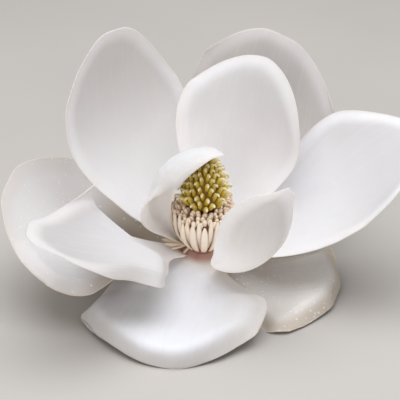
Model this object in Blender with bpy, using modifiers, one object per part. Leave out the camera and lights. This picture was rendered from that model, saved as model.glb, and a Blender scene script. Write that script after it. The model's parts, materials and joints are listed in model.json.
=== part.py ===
"""A southern magnolia bloom on its cut stem.

Ten petals stand in three rings round a short receptacle, and a cone of stamens and carpels
rises from the middle. The bloom lies on a surface, carried by the rims of its two lowest
petals and by the end of its stem.
"""

import math
import random

import bmesh
import bpy
import numpy as np
from mathutils import Matrix, Vector

for thing in list(bpy.data.objects):
    bpy.data.objects.remove(thing, do_unlink=True)

MM = 0.001

# Lengths are in millimetres and angles in degrees, in the bloom's own frame:
# its axis is +Z, and an azimuth of 0 is +X.
LEAN_FORWARD = 12.0
LEAN_RIGHT = 8.0
GAP = 0.3

# Receptacle and stem: the receptacle narrows from its shoulder to its top
RECEPTACLE_RADIUS = 8.0
RECEPTACLE_SHOULDER = 2.0
RECEPTACLE_TOP = 10.0
RECEPTACLE_TOP_RADIUS = 6.9
RECEPTACLE_FOOT = -3.0
STEM_RADIUS = 5.4
STEM_DROP = 20.0
STEM_SWAY = 7.0
STEM_SHOULDER = 1.5
STEM_STEPS = 6
# every other step of the stem carries the swollen scar of a fallen bud scale
SCAR_SWELL = 1.06

# Petals
PETAL_THICKNESS = 0.9
PETAL_ROWS_ACROSS = 10
PETAL_ROWS_ALONG = 14
# rows are drawn towards the rims: how strongly, and what share of their place comes from that
ROW_BEND = 0.8
ROW_BEND_SHARE = 0.6
MIDRIB_STEPS = 120
# steps on each side that a change of lift is eased over
MIDRIB_EASE = 8
# share of the length over which the first twist comes in
TWIST_START = 0.05
TWIST_FULL = 0.3
# how far the rim still narrows at the shoulders, where the tip begins
RIM_SLOPE = 0.25
# half width of the small point at the tip, and how close to the tip it stays
POINT_WIDTH = 0.16
POINT_POWER = 10
# share of the length over which the claw follows the round receptacle, and of its radius to the side
HUG = 0.12
HUG_REACH = 0.95
# room kept between a claw and the receptacle, and the share of the length and height it is kept for
CLAW_CLEARANCE = 0.6
CLAW_SHARE = 0.3
CLAW_HEADROOM = 1.5
# share of the length over which the roll of the sides sets in, and over which the tip's takes over
SIDE_ROLL = (0.10, 0.40)
TIP_ROLL = 0.28
RIM_SAMPLES = 90

# The cone in the middle stands straighter than the bloom's axis: it leans this far towards -X from it
CONE_TILT = 5.0

# Stamens: a solid bowl, and rows of straps that stand out from it
STAMEN_CORE = (
    (0.0, 33.6), (10.6, 34.6), (12.6, 32.0), (12.4, 26.0), (10.8, 19.0), (8.0, 13.6), (6.3, 10.9), (0.0, 10.9),
)
STAMEN_THICKNESS = 0.9
STAMEN_ROOT = 5.2
STAMEN_BOW = 0.72
# half width of a strap at shares of its height
STAMEN_SHARES = (0.0, 0.4, 0.8, 1.0)
STAMEN_HALF_WIDTHS = (0.8, 1.25, 1.3, 0.35)
# count, foot height, tip height, tip radius, and how far round the row is turned
STAMEN_ROWS = ((20, 11.4, 27.0, 15.4, 0.0), (20, 12.2, 32.0, 15.6, 0.5), (20, 15.0, 36.0, 14.2, 0.25))
STAMEN_SEED = 9

# Carpels and styles
CARPEL_CORE = (
    (0.0, 59.0), (2.2, 58.0), (4.6, 54.0), (6.0, 49.0), (7.0, 43.0), (7.2, 38.0), (7.0, 34.9), (0.0, 34.9),
)
CARPEL_COUNT = 50
CARPEL_SEED = 11
CARPEL_LOWEST = 38.6
CARPEL_HIGHEST = 55.5
CARPEL_HALF_WIDTH = 1.9
CARPEL_HALF_LENGTH = 3.4
CARPEL_FORWARD = 1.4
# carpels grow smaller and stand more upright towards the top
CARPEL_SHRINK = 0.3
CARPEL_RISE = (40.0, 76.0)
STYLE_RADIUS = 0.6
# the style's points: distance along the carpel's axis, distance outwards and share of the radius
STYLE_CURL = ((3.0, 0.0, 1.3), (4.9, 0.5, 1.1), (6.0, 1.7, 1.0), (6.0, 3.0, 0.9), (5.1, 3.9, 0.7))
GOLDEN_ANGLE = 137.508

# Each petal: where it leaves the receptacle (azimuth, seat height), its flat outline and its pose.
# The outline is the length, width, half width of the claw, share of the length where it is widest,
# how late it flares out, how far the tip falls away to the sides, the skew and the point at the tip.
# The pose is the lift of the midrib above the bloom's plane at four stations, the sideways swerve of
# the midrib, the twist at a third of the way and at the tip, the cupping of the clockwise and the
# counter-clockwise half at four stations, how far the two side rims and the tip roll back, how
# wide the rolled band is and from which share of the length the tip's roll takes over.
PETALS = {
    "petal_lower_right": dict(
        azimuth=344, seat=0.3, length=68, width=85, claw=5.5,
        widest=0.72, flare=1.2, fall=0.27, skew=0.01, point=-1.3,
        lift=(-7, -10, 35, 5), swerve=2, twist=(-3, -8),
        cup_cw=(8, 7, 7, 3), cup_ccw=(8, -3, -1, 16),
        roll_cw=20, roll_tip=60, roll_ccw=30, band=12, tip_from=0.62,
    ),
    "petal_lower_left": dict(
        azimuth=178, seat=3.1, length=102, width=102, claw=4,
        widest=0.62, flare=1.5, fall=0.32, skew=-0.01, point=-1.5,
        lift=(-5, -5, 31, 53), swerve=3, twist=(12, -15),
        cup_cw=(20, 21, 21, 19), cup_ccw=(8, 13, 15, 23),
        roll_cw=0, roll_tip=0, roll_ccw=0, band=12, tip_from=0.62,
    ),
    "petal_back": dict(
        azimuth=72, seat=0.3, length=140, width=85, claw=5.5,
        widest=0.62, flare=1, fall=0.18, skew=0.06, point=-1.2,
        lift=(-6, 17, 59, 71), swerve=6, twist=(-8, 0),
        cup_cw=(20, 14, 17, 29), cup_ccw=(10, 5, 8, 27),
        roll_cw=0, roll_tip=20, roll_ccw=0, band=12, tip_from=0.62,
    ),
    "petal_front": dict(
        azimuth=255, seat=2.2, length=90, width=91, claw=5.2,
        widest=0.54, flare=1, fall=0.35, skew=0.08, point=-1,
        lift=(-7, 4, 18, -14), swerve=9, twist=(15, 5),
        cup_cw=(4, 8, 10, 17), cup_ccw=(10, 17, 17, 13),
        roll_cw=45, roll_tip=70, roll_ccw=45, band=12, tip_from=0.62,
    ),
    "petal_right": dict(
        azimuth=10, seat=3.2, length=122, width=83, claw=5.5,
        widest=0.76, flare=1, fall=0.24, skew=-0.03, point=-0.9,
        lift=(26, 39, 49, 26), swerve=5, twist=(5, 0),
        cup_cw=(12, 14, 17, 31), cup_ccw=(12, 26, 26, 24),
        roll_cw=0, roll_tip=20, roll_ccw=0, band=12, tip_from=0.62,
    ),
    "petal_back_left": dict(
        azimuth=134, seat=4.8, length=125, width=83, claw=4,
        widest=0.64, flare=1, fall=0.26, skew=0.03, point=-1.2,
        lift=(9, 34, 67, 97), swerve=5, twist=(7, 2),
        cup_cw=(12, 37, 35, 23), cup_ccw=(12, 17, 17, 17),
        roll_cw=0, roll_tip=10, roll_ccw=20, band=12, tip_from=0.62,
    ),
    "petal_inner_right": dict(
        azimuth=299, seat=6.2, length=96, width=42, claw=3.9,
        widest=0.67, flare=1, fall=0.31, skew=-0.02, point=6.1,
        lift=(13, 44, 89, 52), swerve=-9, twist=(-14, 0),
        cup_cw=(25, 59, 56, 45), cup_ccw=(25, 53, 52, 49),
        roll_cw=0, roll_tip=0, roll_ccw=0, band=12, tip_from=0.62,
    ),
    "petal_inner_left": dict(
        azimuth=229, seat=6.2, length=102, width=67, claw=3.9,
        widest=0.89, flare=1, fall=0.23, skew=0.19, point=2.1,
        lift=(15, 40, 18, 22), swerve=-41, twist=(14, 4),
        cup_cw=(12, 30, 37, 74), cup_ccw=(12, -22, -16, 21),
        roll_cw=0, roll_tip=10, roll_ccw=60, band=12, tip_from=0.62,
    ),
    "petal_inner_back": dict(
        azimuth=71, seat=6.4, length=97, width=74, claw=4.6,
        widest=0.73, flare=1, fall=0.27, skew=0.04, point=0.5,
        lift=(44, 48, 71, 71), swerve=-3, twist=(4, -16),
        cup_cw=(20, 43, 42, 42), cup_ccw=(20, 42, 40, 29),
        roll_cw=0, roll_tip=30, roll_ccw=0, band=12, tip_from=0.62,
    ),
    "petal_hood": dict(
        azimuth=166, seat=8.6, length=82, width=36, claw=4.6,
        widest=0.76, flare=1, fall=0.22, skew=0.07, point=0.5,
        lift=(27, 68, 129, 175), swerve=-19, twist=(-12, 5),
        cup_cw=(30, 54, 58, 45), cup_ccw=(30, 36, 58, 64),
        roll_cw=0, roll_tip=0, roll_ccw=50, band=7, tip_from=0.4,
    ),
}


def receptacle_radius(height):
    """Radius of the receptacle at a height."""
    ends = (RECEPTACLE_SHOULDER, RECEPTACLE_TOP)
    return np.interp(height, ends, (RECEPTACLE_RADIUS, RECEPTACLE_TOP_RADIUS))


def ease(value):
    """A smooth step from 0 to 1."""
    value = np.clip(value, 0.0, 1.0)
    return value * value * (3.0 - 2.0 * value)


def radial(azimuth):
    """The level direction away from the bloom's axis."""
    return np.array([math.cos(azimuth), math.sin(azimuth), 0.0])


def flat_outline(across, along, shape):
    """The petal laid flat: sideways place, distance from the claw and half width of the row."""
    half = shape["width"] / 2
    claw = shape["claw"] / half
    widest = shape["widest"]
    fall = shape["fall"]
    pace = (1.0 - RIM_SLOPE) / fall
    end = 1.0 / (1.0 + RIM_SLOPE * (1.0 - widest) / (4.0 * fall))
    opening = np.clip(along / widest, 0.0, 1.0) ** shape["flare"]
    rise = claw + (1.0 - claw) * np.sin(np.pi / 2 * opening)
    narrow = 1.0 - (1.0 - end) * (np.clip(along - widest, 0.0, 1.0) / (1.0 - widest)) ** 2
    row_half = half * np.where(along < widest, rise, narrow)
    distance = shape["length"] * (along - fall * across ** 2 * along ** pace)
    distance = distance * (1.0 + shape["skew"] * across * along)
    distance = distance + shape["point"] * np.exp(-(across / POINT_WIDTH) ** 2) * along ** POINT_POWER
    return row_half * across, distance, row_half


def midrib(shape, steps=MIDRIB_STEPS):
    """Places along the midrib, with the directions along it, across it and off its inner face."""
    reach = shape["length"] * (1.0 + abs(shape["skew"])) + abs(shape["point"]) + 2.0
    distance = np.linspace(0.0, reach, steps)
    share = distance / shape["length"]
    lift = np.interp(share, np.linspace(0.0, 1.0, 4), np.radians(shape["lift"]))
    window = np.hanning(2 * MIDRIB_EASE + 1)
    lift = np.convolve(np.pad(lift, MIDRIB_EASE, mode="edge"), window / window.sum(), mode="valid")
    turn = np.radians(shape["azimuth"] + shape["swerve"] * share ** 1.5)
    early, late = np.radians(shape["twist"])
    twist = np.interp(share, (0.0, TWIST_START, TWIST_FULL, 1.0), (0.0, 0.0, early, late))[:, None]

    forward = np.stack([np.cos(lift) * np.cos(turn), np.cos(lift) * np.sin(turn), np.sin(lift)], axis=1)
    level = np.stack([-np.sin(turn), np.cos(turn), np.zeros(steps)], axis=1)
    upright = np.cross(forward, level)
    sideways = level * np.cos(twist) + upright * np.sin(twist)
    inward = upright * np.cos(twist) - level * np.sin(twist)

    out = radial(math.radians(shape["azimuth"]))
    start = out * (receptacle_radius(shape["seat"]) + GAP) + np.array([0.0, 0.0, shape["seat"]])
    moves = (forward[1:] + forward[:-1]) / 2 * (distance[1] - distance[0])
    place = start + np.concatenate([np.zeros((1, 3)), np.cumsum(moves, axis=0)])
    return distance, place, forward, sideways, inward


def flat_rim(shape):
    """Points round the flat petal from claw to tip to claw, with their outward directions."""
    up = np.linspace(0.0, 1.0, RIM_SAMPLES)
    over = np.linspace(-1.0, 1.0, RIM_SAMPLES + 2)[1:-1]
    side = np.ones(RIM_SAMPLES)
    across = np.concatenate([-side, over, side])
    along = np.concatenate([up, side, up[::-1]])
    x, y, _ = flat_outline(across, along, shape)
    points = np.stack([x, y], axis=1)
    step = np.gradient(points, axis=0)
    outward = np.stack([-step[:, 1], step[:, 0]], axis=1)
    outward /= np.linalg.norm(outward, axis=1)[:, None] + 1e-12
    middle = np.array([0.0, shape["length"] / 2])
    outward *= np.sign(((points - middle) * outward).sum(axis=1))[:, None]
    return points, outward


def petal_surface(across, along, shape):
    """Points of the petal's inner face, for places across (-1 to 1) and along (0 to 1) it."""
    x, y, row_half = flat_outline(across, along, shape)
    distance, place, forward, sideways, inward = midrib(shape)

    def read(track):
        return np.stack([np.interp(y, distance, track[:, axis]) for axis in range(3)], axis=1)

    place, forward, sideways, inward = read(place), read(forward), read(sideways), read(inward)

    # each half of the petal is bent to an arc across the midrib
    stations = np.linspace(0.0, 1.0, 4)
    cup_cw = np.interp(along, stations, np.radians(shape["cup_cw"]))
    cup_ccw = np.interp(along, stations, np.radians(shape["cup_ccw"]))
    cup = np.where(across < 0.0, cup_cw, cup_ccw)
    cup = np.where(np.abs(cup) < 1e-4, 1e-4, cup)
    turned = (cup * across)[:, None]
    points = place + sideways * row_half[:, None] * np.sin(turned) / cup[:, None]
    points = points + inward * row_half[:, None] * (1.0 - np.cos(turned)) / cup[:, None]
    skin_side = sideways * np.cos(turned) + inward * np.sin(turned)
    skin_in = inward * np.cos(turned) - sideways * np.sin(turned)

    # the claw's end follows the round receptacle
    seat_radius = receptacle_radius(shape["seat"])
    near = np.minimum(np.abs(x), seat_radius * HUG_REACH)
    hollow = seat_radius - np.sqrt(seat_radius ** 2 - near ** 2)
    points = points - radial(math.radians(shape["azimuth"])) * (hollow * (1.0 - ease(along / HUG)))[:, None]

    # nothing near the claw reaches into the receptacle
    from_axis = np.hypot(points[:, 0], points[:, 1])
    beside = (points[:, 2] < RECEPTACLE_TOP + CLAW_HEADROOM) & (along < CLAW_SHARE)
    needed = receptacle_radius(points[:, 2]) + CLAW_CLEARANCE
    short = np.maximum(needed - from_axis, 0.0) * beside
    points[:, :2] *= (1.0 + short / from_axis)[:, None]

    # the rim rolls back
    rim, outward = flat_rim(shape)
    apart = np.hypot(x[:, None] - rim[None, :, 0], y[:, None] - rim[None, :, 1])
    nearest = apart.argmin(axis=1)
    from_rim = apart[np.arange(len(x)), nearest]
    rim_share = rim[nearest, 1] / shape["length"]
    at_tip = ease((rim_share - shape["tip_from"]) / TIP_ROLL)
    at_side = ease((rim_share - SIDE_ROLL[0]) / (SIDE_ROLL[1] - SIDE_ROLL[0]))
    side_roll = np.where(rim[nearest, 0] < 0.0, shape["roll_cw"], shape["roll_ccw"])
    roll = np.radians(at_tip * shape["roll_tip"] + (1.0 - at_tip) * at_side * side_roll)
    roll = np.where(np.abs(roll) < 1e-3, 1e-3, roll)
    radius = shape["band"] / np.abs(roll)
    inside = np.clip(shape["band"] - from_rim, 0.0, None)
    drawn_in = (radius * np.sin(inside / radius) - inside)[:, None]
    turned_back = (-np.sign(roll) * radius * (1.0 - np.cos(inside / radius)))[:, None]
    skin_out = skin_side * outward[nearest, :1] + forward * outward[nearest, 1:]
    return points + skin_out * drawn_in + skin_in * turned_back


def spread(value, lowest, highest):
    """Even steps drawn closer together towards both ends."""
    middle = (lowest + highest) / 2
    half = (highest - lowest) / 2
    place = (value - middle) / half
    bent = np.sin(place * np.pi / 2 * ROW_BEND) / math.sin(np.pi / 2 * ROW_BEND)
    return middle + half * (ROW_BEND_SHARE * bent + (1.0 - ROW_BEND_SHARE) * place)


def add_object(name, mesh, collection, parent=None):
    """An object for a mesh, in a collection."""
    made = bpy.data.objects.new(name, mesh)
    collection.objects.link(made)
    made.parent = parent
    return made


def plain_material(name, colour, roughness):
    """A material of one colour."""
    material = bpy.data.materials.new(name)
    material.use_nodes = True
    shader = material.node_tree.nodes["Principled BSDF"]
    shader.inputs["Base Color"].default_value = (*colour, 1.0)
    shader.inputs["Roughness"].default_value = roughness
    return material


def mesh_from(build, name):
    """A mesh datablock from a bmesh."""
    mesh = bpy.data.meshes.new(name)
    build.to_mesh(mesh)
    build.free()
    return mesh


bloom = bpy.data.collections.new("magnolia_bloom")
bpy.context.scene.collection.children.link(bloom)

# The bloom leans as a whole, so its pieces hang on one empty
lean = bpy.data.objects.new("bloom_axis", None)
bloom.objects.link(lean)
lean.rotation_euler = (math.radians(LEAN_FORWARD), math.radians(LEAN_RIGHT), 0.0)

# The cone tilts about the top of the receptacle
cone = bpy.data.objects.new("cone_axis", None)
bloom.objects.link(cone)
cone.parent = lean
cone.rotation_euler = (0.0, math.radians(-CONE_TILT), 0.0)
cone.location = Matrix.Rotation(math.radians(-CONE_TILT), 3, "Y") @ Vector((0.0, 0.0, -RECEPTACLE_TOP * MM))
cone.location.z += RECEPTACLE_TOP * MM

white = plain_material("petal", (0.90, 0.89, 0.86), 0.55)
cream = plain_material("stamens", (0.86, 0.78, 0.60), 0.6)
olive = plain_material("pistils", (0.52, 0.50, 0.12), 0.55)
green = plain_material("stem", (0.30, 0.30, 0.15), 0.8)


# Petals: an open surface with thickness on its outer side
def make_petal(name, shape):
    grid = bmesh.new()
    bmesh.ops.create_grid(grid, x_segments=PETAL_ROWS_ACROSS, y_segments=PETAL_ROWS_ALONG, size=1.0)
    flat = np.array([vert.co for vert in grid.verts])
    across = spread(flat[:, 0], -1.0, 1.0)
    along = spread((flat[:, 1] + 1.0) / 2.0, 0.0, 1.0)
    for vert, point in zip(grid.verts, petal_surface(across, along, shape)):
        vert.co = Vector(point) * MM
    bmesh.ops.triangulate(grid, faces=grid.faces[:])
    petal = add_object(name, mesh_from(grid, name), bloom, lean)
    petal.data.materials.append(white)
    petal.data.shade_smooth()
    skin = petal.modifiers.new("thickness", "SOLIDIFY")
    skin.thickness = PETAL_THICKNESS * MM
    skin.offset = 1.0
    skin.use_even_offset = True
    return petal


for petal_name, petal_shape in PETALS.items():
    make_petal(petal_name, petal_shape)


def turned_body(name, profile, material, steps=16):
    """A solid of revolution about the cone's axis."""
    edge = bmesh.new()
    verts = [edge.verts.new((radius * MM, 0.0, height * MM)) for radius, height in profile]
    for first, second in zip(verts, verts[1:]):
        edge.edges.new((first, second))
    body = add_object(name, mesh_from(edge, name), bloom, cone)
    body.data.materials.append(material)
    screw = body.modifiers.new("turn", "SCREW")
    screw.steps = steps
    screw.render_steps = steps
    screw.use_merge_vertices = True
    screw.merge_threshold = 0.00001
    return body


def fuse(body, pieces):
    """Join loose pieces to a body in one union, then drop the loose ones."""
    union = body.modifiers.new("union", "BOOLEAN")
    union.operation = "UNION"
    union.operand_type = "COLLECTION"
    union.collection = pieces
    union.solver = "MANIFOLD"
    bpy.context.view_layer.update()
    joined = bpy.data.meshes.new_from_object(body.evaluated_get(bpy.context.evaluated_depsgraph_get()))
    body.modifiers.clear()
    body.data = joined
    for piece in list(pieces.objects):
        bpy.data.objects.remove(piece, do_unlink=True)
    bpy.data.collections.remove(pieces)


# Stamens: pointed straps round a slim sleeve, in rows
def make_stamens():
    sleeve = turned_body("stamens", STAMEN_CORE, cream)
    pieces = bpy.data.collections.new("stamen_straps")
    bpy.context.scene.collection.children.link(pieces)
    chance = random.Random(STAMEN_SEED)
    for count, foot, tip, tip_radius, offset in STAMEN_ROWS:
        for index in range(count):
            azimuth = math.tau * (index + offset) / count + chance.uniform(-0.04, 0.04)
            strap_tip = tip + chance.uniform(-1.5, 1.5)
            strap_radius = tip_radius + chance.uniform(-0.5, 0.3)
            grid = bmesh.new()
            bmesh.ops.create_grid(grid, x_segments=1, y_segments=4, size=1.0)
            out = radial(azimuth)
            side = np.array([-out[1], out[0], 0.0])
            for vert in grid.verts:
                share = (vert.co.y + 1.0) / 2
                opened = math.sin(share * math.pi / 2) ** STAMEN_BOW
                radius = STAMEN_ROOT + (strap_radius - STAMEN_ROOT) * opened
                half = np.interp(share, STAMEN_SHARES, STAMEN_HALF_WIDTHS)
                place = out * radius + side * half * vert.co.x
                place[2] = foot + (strap_tip - foot) * share
                vert.co = Vector(place) * MM
            bmesh.ops.triangulate(grid, faces=grid.faces[:])
            strap = add_object("strap", mesh_from(grid, "strap"), pieces, cone)
            skin = strap.modifiers.new("thickness", "SOLIDIFY")
            skin.thickness = STAMEN_THICKNESS * MM
            skin.offset = 0.0
    fuse(sleeve, pieces)


# Pistils: carpels in a spiral over a core, each with a curled style
def make_pistils():
    core = turned_body("pistils", CARPEL_CORE, olive)
    pieces = bpy.data.collections.new("carpels")
    bpy.context.scene.collection.children.link(pieces)
    chance = random.Random(CARPEL_SEED)
    heights = [height for _, height in reversed(CARPEL_CORE[1:-1])]
    radii = [radius for radius, _ in reversed(CARPEL_CORE[1:-1])]
    for index in range(CARPEL_COUNT):
        share = index / (CARPEL_COUNT - 1)
        height = CARPEL_LOWEST + (CARPEL_HIGHEST - CARPEL_LOWEST) * share
        radius = float(np.interp(height, heights, radii))
        size = 1.0 - CARPEL_SHRINK * share
        azimuth = math.radians(GOLDEN_ANGLE * index) + chance.uniform(-0.06, 0.06)
        out = Vector(radial(azimuth))
        up = Vector((0.0, 0.0, 1.0))
        rise = math.radians(CARPEL_RISE[0] + (CARPEL_RISE[1] - CARPEL_RISE[0]) * share)
        axis = out * math.cos(rise) + up * math.sin(rise)
        seat = out * radius + up * height

        ovoid = bmesh.new()
        bmesh.ops.create_uvsphere(ovoid, u_segments=6, v_segments=4, radius=1.0)
        tilt = Vector((0.0, 0.0, 1.0)).rotation_difference(axis)
        middle = seat + axis * CARPEL_FORWARD * size
        stretch = Vector((CARPEL_HALF_WIDTH, CARPEL_HALF_WIDTH, CARPEL_HALF_LENGTH)) * size
        for vert in ovoid.verts:
            vert.co = (middle + tilt @ (vert.co * stretch)) * MM
        add_object("carpel", mesh_from(ovoid, "carpel"), pieces, cone)

        # the style leaves the carpel's end and curls back outwards
        curve = bpy.data.curves.new("style", "CURVE")
        curve.dimensions = "3D"
        curve.bevel_depth = STYLE_RADIUS * MM
        curve.bevel_resolution = 0
        curve.use_fill_caps = True
        line = curve.splines.new("POLY")
        line.points.add(len(STYLE_CURL) - 1)
        for point, (along_axis, outward, thick) in zip(line.points, STYLE_CURL):
            place = seat + axis * (along_axis * size) + out * (outward * size)
            point.co = (*(place * MM), 1.0)
            point.radius = thick
        guide = bpy.data.objects.new("style", curve)
        bpy.context.scene.collection.objects.link(guide)
        bpy.context.view_layer.update()
        tube = bpy.data.meshes.new_from_object(guide.evaluated_get(bpy.context.evaluated_depsgraph_get()))
        welded = bmesh.new()
        welded.from_mesh(tube)
        bmesh.ops.remove_doubles(welded, verts=welded.verts[:], dist=0.00001)
        bmesh.ops.recalc_face_normals(welded, faces=welded.faces[:])
        welded.to_mesh(tube)
        welded.free()
        add_object("style", tube, pieces, cone)
        bpy.data.objects.remove(guide, do_unlink=True)
    fuse(core, pieces)


# Stem: the receptacle and the stalk below it, cut level with the lowest petal rims
def lowest_point():
    """The lowest point of the petals, as the leaning bloom holds them."""
    bpy.context.view_layer.update()
    graph = bpy.context.evaluated_depsgraph_get()
    heights = []
    for item in bloom.objects:
        if item.name in PETALS:
            solid = item.evaluated_get(graph)
            heights.extend((item.matrix_world @ vert.co).z for vert in solid.data.vertices)
    return min(heights)


def make_stem():
    curve = bpy.data.curves.new("stem", "CURVE")
    curve.dimensions = "3D"
    curve.bevel_depth = STEM_RADIUS * MM
    curve.bevel_resolution = 4
    curve.use_fill_caps = True
    places = [
        (0.0, RECEPTACLE_TOP, RECEPTACLE_TOP_RADIUS),
        (0.0, RECEPTACLE_SHOULDER, RECEPTACLE_RADIUS),
        (0.0, RECEPTACLE_FOOT, RECEPTACLE_RADIUS),
    ]
    for step in range(1, STEM_STEPS + 1):
        share = step / STEM_STEPS
        swell = SCAR_SWELL if step % 2 else 1.0
        height = RECEPTACLE_FOOT - STEM_SHOULDER - STEM_DROP * share
        places.append((STEM_SWAY * share ** 1.5, height, STEM_RADIUS * swell))
    line = curve.splines.new("POLY")
    line.points.add(len(places) - 1)
    for point, (sway, height, radius) in zip(line.points, places):
        point.co = (sway * MM, 0.0, height * MM, 1.0)
        point.radius = radius / STEM_RADIUS
    guide = bpy.data.objects.new("stem_line", curve)
    bloom.objects.link(guide)
    bpy.context.view_layer.update()
    tube = bpy.data.meshes.new_from_object(guide.evaluated_get(bpy.context.evaluated_depsgraph_get()))
    bpy.data.objects.remove(guide, do_unlink=True)

    # the level cut, in the bloom's own frame
    upright = lean.matrix_world.inverted().to_3x3() @ Vector((0.0, 0.0, 1.0))
    solid = bmesh.new()
    solid.from_mesh(tube)
    bmesh.ops.remove_doubles(solid, verts=solid.verts[:], dist=0.00001)
    cut = bmesh.ops.bisect_plane(
        solid, geom=solid.verts[:] + solid.edges[:] + solid.faces[:],
        plane_co=upright * lowest_point(), plane_no=upright, clear_inner=True,
    )
    rim = [item for item in cut["geom_cut"] if isinstance(item, bmesh.types.BMEdge)]
    bmesh.ops.edgeloop_fill(solid, edges=rim)
    bmesh.ops.recalc_face_normals(solid, faces=solid.faces[:])
    solid.to_mesh(tube)
    solid.free()
    stem = add_object("stem", tube, bloom, lean)
    stem.data.materials.append(green)


make_stamens()
make_pistils()
make_stem()

# The surface the bloom lies on is at height 0, under the middle of its box
bpy.context.view_layer.update()
graph = bpy.context.evaluated_depsgraph_get()
corners = []
for item in bloom.objects:
    if item.type == "MESH":
        solid = item.evaluated_get(graph)
        corners.extend(item.matrix_world @ vert.co for vert in solid.data.vertices)
low = Vector(min(corner[axis] for corner in corners) for axis in range(3))
high = Vector(max(corner[axis] for corner in corners) for axis in range(3))
lean.location = (-(low.x + high.x) / 2, -(low.y + high.y) / 2, -low.z)
bpy.context.view_layer.update()
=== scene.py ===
# %% [markdown]
# # A southern magnolia bloom, dressed
#
# The bloom has ten thick white petals round a short green receptacle, and a cone in the middle:
# flat cream stamens below and olive carpels with curled styles above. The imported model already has
# every one of these pieces as a plain solid in its right place. This script loads that model and
# makes a finer piece for each solid, of the same form but with the lips, lobes, hooks and small
# repeats that a plain solid leaves out, and gives it a finish.

import json
import math
import random

import bmesh
import bpy
import numpy as np
from mathutils import Euler, Matrix, Vector, noise

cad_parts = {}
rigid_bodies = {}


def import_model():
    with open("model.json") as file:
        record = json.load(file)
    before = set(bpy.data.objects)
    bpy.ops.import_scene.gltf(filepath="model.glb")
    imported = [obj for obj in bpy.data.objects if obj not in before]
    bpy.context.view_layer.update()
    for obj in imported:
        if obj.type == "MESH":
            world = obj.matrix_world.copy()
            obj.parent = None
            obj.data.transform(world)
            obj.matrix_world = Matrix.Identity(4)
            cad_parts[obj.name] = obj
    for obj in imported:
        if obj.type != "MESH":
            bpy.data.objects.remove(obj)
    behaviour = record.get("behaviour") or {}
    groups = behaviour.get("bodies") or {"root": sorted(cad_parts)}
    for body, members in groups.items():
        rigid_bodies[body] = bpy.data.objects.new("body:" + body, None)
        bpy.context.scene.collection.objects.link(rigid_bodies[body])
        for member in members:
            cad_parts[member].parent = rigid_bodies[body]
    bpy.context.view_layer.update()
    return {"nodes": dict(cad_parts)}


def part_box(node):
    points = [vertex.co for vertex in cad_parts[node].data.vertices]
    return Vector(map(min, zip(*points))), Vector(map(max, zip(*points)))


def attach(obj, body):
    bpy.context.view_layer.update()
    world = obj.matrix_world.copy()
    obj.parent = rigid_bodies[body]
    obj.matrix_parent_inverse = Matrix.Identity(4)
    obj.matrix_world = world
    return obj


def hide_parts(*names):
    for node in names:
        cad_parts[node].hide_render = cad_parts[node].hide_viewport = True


for thing in list(bpy.data.objects):
    bpy.data.objects.remove(thing, do_unlink=True)

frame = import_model()
print("pieces in the packed model:", sorted(frame["nodes"]))

# %% [markdown]
# ## Lengths and frames
#
# The pieces are made in millimetres, in the bloom's own frame, whose axis is +Z. Two matrices carry
# them into place: one for the leaning bloom, one for its cone, which stands a little straighter.

# %% The bloom's own frame
MM = 0.001
LEAN = Euler((math.radians(12.0), math.radians(8.0), 0.0)).to_matrix().to_4x4()
CONE_TILT = math.radians(-7.0)

RECEPTACLE_RADIUS = 8.0
RECEPTACLE_SHOULDER = 2.0
RECEPTACLE_TOP = 10.0
RECEPTACLE_TOP_RADIUS = 6.9
CLAW_GAP = 0.3


def receptacle_radius(height):
    """Radius of the receptacle at a height."""
    ends = (RECEPTACLE_SHOULDER, RECEPTACLE_TOP)
    return np.interp(height, ends, (RECEPTACLE_RADIUS, RECEPTACLE_TOP_RADIUS))


def radial(azimuth):
    """The level direction away from the axis."""
    return np.array([math.cos(azimuth), math.sin(azimuth), 0.0])


def ease(value):
    """A smooth step from 0 to 1."""
    value = np.clip(value, 0.0, 1.0)
    return value * value * (3.0 - 2.0 * value)


def evened(track, reach):
    """A run of numbers smoothed over its neighbours."""
    window = np.hanning(2 * reach + 1)
    return np.convolve(np.pad(track, reach, mode="edge"), window / window.sum(), mode="valid")


# %% [markdown]
# ## The petals' measures
#
# A magnolia petal is a spoon on a narrow claw. Each one is described the way a maker would cut and
# bend it: a flat outline, the line of its midrib, a twist, the cupping of its two halves and the roll
# of its rim. Ten rows of measures are easier to change than ten sculpted meshes. The plain solids were
# made from such rows too. Those of the back, back left, right and inner back petals are the same; the
# other six have been drawn closer to a real bloom since then, mostly in their lips and lobes.

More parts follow.
